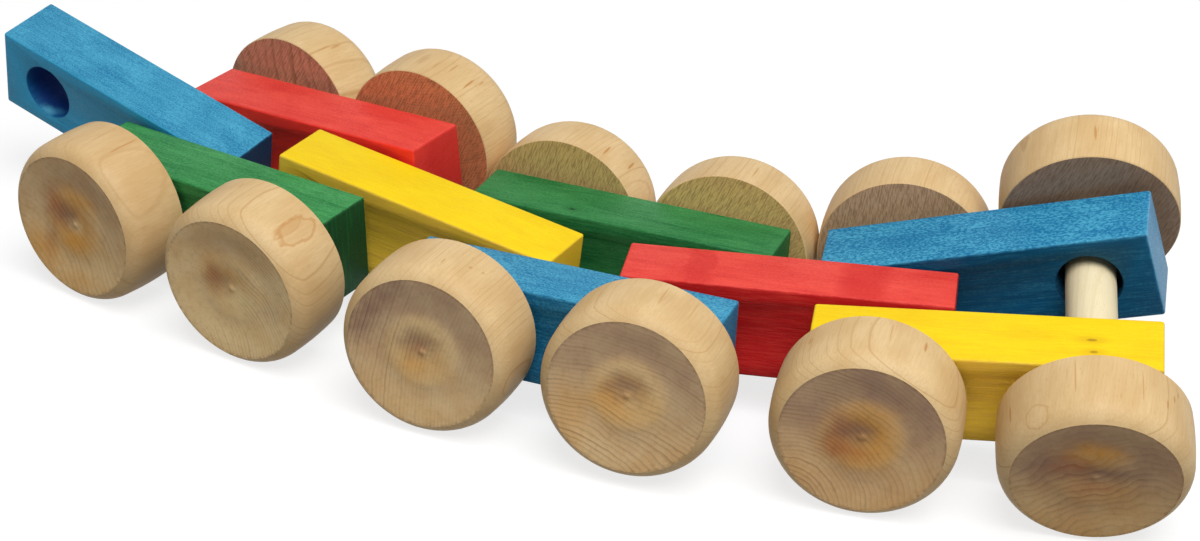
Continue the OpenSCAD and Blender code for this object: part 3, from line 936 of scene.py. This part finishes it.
def mapleEnd(name, look, inner):
    # end grain: closer rings and darker, greyer wood than on the tread, with stains round the middle
    work = faceWork
    tones = mapleColours
    material, tree, shader = newMaterial(name + ("Inside" if inner else "Face"), roughness=0.6, specular=0.1)
    place = attributeOf(tree, "woodPlace")
    spot = attributeOf(tree, "wheelPlace")
    flat = stretched(tree, spot, (1, 1, 0))
    radius = vectorMaths(tree, "LENGTH", flat)
    upward = axesOf(tree, spot)["Y"]

    # the rings bow where the dish cuts through them
    shift = 0.0
    for x, y, reach, amount in look.get("bows", []):
        away = vectorMaths(tree, "LENGTH", vectorMaths(tree, "SUBTRACT", flat, (x, y, 0)))
        shift = timesPlus(tree, ramp(tree, away, 0, reach, 1.0, 0.0), amount, shift)
    rings = useGroup(tree, growthRings, {
        "Place": place, "Spacing": look["spacing"], "Wander": look["wander"],
        "Wave": look.get("wave", 1.0), "Shift": shift, **work["rings"]})
    cloud = maskOf(tree, place, work["cloud"])
    dots = maskOf(tree, place, work["dots"])

    colour = linear(tones[look.get("inside", "dusky") if inner else look.get("ground", "end")])
    if not inner:
        warmth = timesPlus(tree, cloud, work["warmCloud"], look.get("warm", 0.3) * work["warmShare"])
        colour = tinted(tree, colour, tones["gold"], warmth)
        # the wood is golden on the raised ring round the middle
        golden = bandOf(tree, radius, *work["golden"])
        clouded = timesPlus(tree, cloud, work["goldenCloud"], 1.0)
        colour = tinted(tree, colour, tones["amber"], golden, clouded, look["amber"] * work["goldenShare"])
        # painted highlight: the upper side of the raised ring is made paler
        crest = bandOf(tree, radius, *work["crest"])
        colour = tinted(tree, colour, tones["end"], crest, ramp(tree, upward, *work["crestUpward"]))

    # a grey painted shade lies over the upper part of the face, less lower down, and on the outer face a ring of
    # it
    paintedShadeMask = times(tree, ramp(tree, upward, *work["hazeUpward"]), ramp(tree, radius, *work["hazeClear"]))
    if not inner:
        lower = times(tree, bandOf(tree, radius, *work["lowHaze"]), work["lowHazeShare"])
        paintedShadeMask = maths(tree, "MAXIMUM", paintedShadeMask, lower)
    shadeShare = look["smoke"] * (work["insideHaze"] if inner else 1.0)
    clouded = timesPlus(tree, cloud, work["hazeCloud"], work["hazeLeast"])
    colour = tinted(tree, colour, tones["smoke"], clouded, paintedShadeMask, shadeShare)
    if not inner:
        streaky = timesPlus(tree, rings["Fade"], work["streaky"], 1 - work["streaky"])
        # some patches are painted shade in the hollow and on the upper dish, and painted light low on the dish;
        # the rest are stains in the wood
        for x, y, wide, high, tone, strength in look["patches"]:
            patch = patchOf(tree, flat, (x, y, 0), (wide, high, 1), work["raggedness"])
            colour = tinted(tree, colour, tones[tone], patch["Soft"], streaky, strength)
    mottle = maskOf(tree, place, work["mottle"])
    colour = tinted(tree, colour, tones["line"], mottle, work["mottleShare"])

    # the ring lines fade here and there, and show most on one side
    lines = times(tree, rings["Line"], maskOf(tree, place, work["fading"], work["faintest"]))
    if "bold" in look:
        x, y, weakest = look["bold"]
        toward = vectorMaths(tree, "DOT_PRODUCT", flat, Vector((x, y, 0)).normalized())
        lines = times(tree, lines, ramp(tree, toward, *work["boldReach"], weakest, 1.0))
    lineShare = look["line"] * (work["insideLine"] if inner else 1.0)
    colour = tinted(tree, colour, tones["line"], lines, lineShare)
    colour = tinted(tree, colour, tones["line"], dots, work["dotShare"])
    height = timesPlus(tree, lines, work["lineDepth"], times(tree, dots, work["dotDepth"]))
    if inner:
        # the saw leaves short slanting scratches on the inner face, turned differently on each wheel
        turned = nodeOf(tree, "ShaderNodeMapping", {"Vector": flat, "Rotation": (0, 0, look["spacing"])})
        scratches = maskOf(tree, turned.outputs[0], work["scratches"])
        colour = tinted(tree, colour, tones["line"], scratches, work["scratchShare"])
        height = timesPlus(tree, scratches, work["scratchHeight"], height)
    else:
        # faint turning marks, and a rim that is darker where it is worn
        turning = nodeOf(tree, "ShaderNodeTexWave", {
            "Vector": flat, **work["turning"],
        }, wave_type="RINGS", rings_direction="Z").outputs["Fac"]
        height = timesPlus(tree, turning, work["turningHeight"], height)
        rim = times(tree, ramp(tree, radius, *work["rim"]), maskOf(tree, place, work["rimWear"]))
        colour = tinted(tree, colour, tones["line"], rim, work["rimShare"])
    finishWood(tree, shader, colour, height, work)
    return material


def axleFrame(number, outward):
    # the middle of a dowel, with Z along it towards the front (-1) or the back (1) and Y upwards
    joint = next(j for j in frame["joints"] if j["name"] == f"spin_{number}")
    along = Vector(joint["axis"]).normalized() * outward
    level = Vector((0, 0, 1)).cross(along).normalized()
    return frameMatrix(level, along.cross(level), along, Vector(joint["pos_m"]))


def placeDowel(master, number):
    look = dowelLook
    dowel = copyOf(master, f"Dowel{number}")
    fibreTurn = Euler((math.radians(look["lean"]), math.radians(90 + number), 0)).to_matrix()
    y, z = look["pith"]
    offset = Vector((number * look["trunkStep"], y + number * look["pithStep"], z))
    storePlace(dowel, "woodPlace", lambda spot: fibreTurn @ spot + offset)
    moveTo(dowel, axleFrame(number, 1))
    return dowel


dowelMaster = modelDowel()
dowelMaterial = dowelWood()
for number in range(1, 7):
    dowel = placeDowel(dowelMaster, number)
    finishPiece(dowel, f"dowel_{number}", dowelMaterial)
dropMaster(dowelMaster)
print("dowels done")


# how much further along the tree the wood of the next wheel, and of the other row, lies
wheelWood = {"numberStep": 60, "rowStep": 31}


def placeWheel(master, node, look):
    row, number = node.split("_wheel_")
    outward = -1 if row == "front" else 1
    wheel = copyOf(master, f"{row.title()}Wheel{number}")
    lean = Euler((0, math.radians(look["lean"]), 0)).to_matrix()
    toFibre = Matrix(((0, 0, 1), (1, 0, 0), (0, 1, 0)))  # the axle's direction becomes X, along the fibres
    centre = Vector((*look["pith"], wheelShape["width"]))
    alongTree = Vector((int(number) * wheelWood["numberStep"] + outward * wheelWood["rowStep"], 0, 0))
    storePlace(wheel, "woodPlace", lambda spot: toFibre @ (lean @ (spot - centre)) + alongTree)
    outwards = Matrix.Translation((0, 0, wheelShape["faceFromAxle"] * mm))
    moveTo(wheel, axleFrame(int(number), outward) @ outwards)
    return wheel


wheelMaster = modelWheel()
for node, look in wheelLooks.items():
    wheel = placeWheel(wheelMaster, node, look)
    title = wheel.name[0].lower() + wheel.name[1:]
    face, inside = (mapleEnd(title, look, inner) for inner in (False, True))
    finishPiece(wheel, node, mapleTread(title, look), face, inside)
dropMaster(wheelMaster)
print("wheels done")


# The floor, the light and the camera

# worldLight: how strong the surroundings light the toy, worldShown: how bright they look,
# floorBounce: how much light the floor throws back, floorGlow and shadowShare: its white as it looks,
# and the share of it that takes shadows
studio = {
    "floorSize": 12.0, "worldLight": 0.13, "worldShown": 1.0,
    "lampPower": 30.0, "lampSize": 1.2, "lampPlace": (0.45, -0.6, 1.5),
    "floorBounce": 0.28, "shadowShare": 0.3, "floorGlow": 1.1, "white": (1, 1, 1, 1),
}


def seenPlainly(tree):
    # one where the camera sees a place itself, in a gloss or through glass, and zero for light
    light = tree.nodes.new("ShaderNodeLightPath").outputs
    other = maths(tree, "MAXIMUM", light["Is Glossy Ray"], light["Is Transmission Ray"])
    return maths(tree, "MAXIMUM", light["Is Camera Ray"], other)


def floorMaterial():
    material, tree, shader = newMaterial("paleFloor", roughness=1.0, specular=0.0)
    tree.nodes.remove(shader)
    bounce = nodeOf(tree, "ShaderNodeBsdfDiffuse", {"Color": (*[studio["floorBounce"]] * 3, 1)})
    shown = nodeOf(tree, "ShaderNodeBsdfDiffuse", {"Color": studio["white"]})
    glow = nodeOf(tree, "ShaderNodeEmission", {"Color": studio["white"], "Strength": studio["floorGlow"]})
    pale = nodeOf(tree, "ShaderNodeMixShader", {
        0: studio["shadowShare"], 1: glow.outputs[0], 2: shown.outputs[0]})
    both = nodeOf(tree, "ShaderNodeMixShader", {
        0: seenPlainly(tree), 1: bounce.outputs[0], 2: pale.outputs[0]})
    tree.links.new(both.outputs[0], tree.nodes["Material Output"].inputs["Surface"])
    return material


floor = newPiece("Floor", bpy.ops.mesh.primitive_plane_add, size=studio["floorSize"], location=(0, 0, 0))
floor.data.materials.append(floorMaterial())

world = bpy.context.scene.world or bpy.data.worlds.new("studioWorld")
bpy.context.scene.world = world
world.use_nodes = True
tree = world.node_tree
strength = ramp(tree, seenPlainly(tree), 0, 1, studio["worldLight"], studio["worldShown"])
tree.links.new(strength, tree.nodes["Background"].inputs["Strength"])
tree.nodes["Background"].inputs["Color"].default_value = studio["white"]

clearSelection()
bpy.ops.object.light_add(type="AREA", location=studio["lampPlace"])
lamp = bpy.context.object
lamp.data.shape = "SQUARE"
lamp.data.size = studio["lampSize"]
lamp.data.energy = studio["lampPower"]
lamp.rotation_euler = (-Vector(studio["lampPlace"])).to_track_quat("-Z", "Y").to_euler()

# found by fitting every visible edge and wheel rim of the photograph
photoView = {
    "place": (232.59, -698.51, 396.47),
    "look": (-0.27823, 0.85251, -0.44252),
    "right": (0.94045, 0.33545, 0.05494),
    "sensor": 36, "lensPerWidth": 2480.6 / 1200, "shift": (0.0322, -0.0232), "clip": (0.01, 100),
}
camera = bpy.data.cameras.new("photoCamera")
camera.sensor_width = photoView["sensor"]
camera.lens = photoView["sensor"] * photoView["lensPerWidth"]
camera.shift_x, camera.shift_y = photoView["shift"]
camera.clip_start, camera.clip_end = photoView["clip"]
cameraObject = bpy.data.objects.new("photoCamera", camera)
bpy.context.collection.objects.link(cameraObject)
look = Vector(photoView["look"]).normalized()
right = Vector(photoView["right"])
right = (right - right.dot(look) * look).normalized()
cameraObject.matrix_world = frameMatrix(right, right.cross(look), -look, Vector(photoView["place"]) * mm)
bpy.context.scene.camera = cameraObject
bpy.context.scene.view_settings.view_transform = "Standard"
print("studio done")
